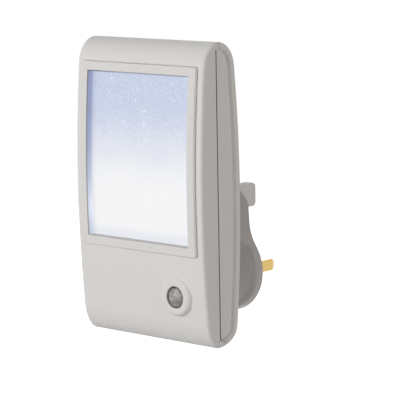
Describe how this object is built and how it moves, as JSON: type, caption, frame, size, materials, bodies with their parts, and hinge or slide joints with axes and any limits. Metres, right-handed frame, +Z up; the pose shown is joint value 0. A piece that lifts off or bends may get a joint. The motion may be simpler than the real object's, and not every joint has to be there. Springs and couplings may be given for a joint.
{
  "type": "plug-in night light",
  "caption": "Slim rounded night light with a tall framed window and a domed light sensor, on a pear-shaped British three-pin plug.",
  "frame": {"origin": "on the plug's flat face, midway in height between the earth pin and the line and neutral pins, on the middle line", "axes": "+Z up along the case, +Y into the wall along the pins, +X to the right seen from the front"},
  "size_m": [0.0562, 0.0577, 0.098],
  "materials": {
    "case_plastic": "satin off-white, moulded",
    "pane_plastic": "clear with a fine prismatic face",
    "guide_plastic": "clear acrylic, polished",
    "reflector_plastic": "bright white",
    "smoked_plastic": "smoked, polished",
    "black_plastic": "satin",
    "clamp_plastic": "plain",
    "brass": "bright, drawn",
    "steel": "zinc plated",
    "board": "solder resist",
    "lamp_board": "white solder resist",
    "lamp": "phosphor under clear resin",
    "film": "moulded case",
    "resistor_blue": "cement coat",
    "resistor_tan": "lacquered",
    "can_sleeve": "shrunk sleeve",
    "glass_body": "glass-like diode body",
    "cell": "clear resin over a sensing track",
    "wire_brown": "plain",
    "wire_blue": "plain",
    "wire_red": "plain",
    "wire_black": "plain"
  },
  "bodies": {
    "root": {"front_shell": "case_plastic", "rear_shell": "case_plastic", "window_frame": "case_plastic", "diffuser": "pane_plastic", "light_guide": "guide_plastic", "reflector_tray": "reflector_plastic", "led_board": "lamp_board", "led_left": "lamp", "led_middle": "lamp", "led_right": "lamp", "led_lead_positive": "wire_red", "led_lead_negative": "wire_black", "sensor_lens": "smoked_plastic", "photocell": "cell", "photocell_shroud": "black_plastic", "main_board": "board", "dropper_capacitor": "film", "surge_resistor": "resistor_blue", "bleed_resistor": "resistor_tan", "bridge_rectifier": "black_plastic", "smoothing_capacitor": "can_sleeve", "zener_diode": "glass_body", "switching_transistor": "black_plastic", "signal_resistors": "resistor_tan", "line_lead": "wire_brown", "neutral_lead": "wire_blue", "plug_boss": "case_plastic", "pin_clamp": "clamp_plastic", "earth_pin": "case_plastic", "line_pin": "brass", "neutral_pin": "brass", "line_pin_sleeve": "black_plastic", "neutral_pin_sleeve": "black_plastic", "case_screws": "steel", "boss_screws": "steel", "clamp_screws": "steel", "board_screws": "steel"}
  },
  "joints": []
}
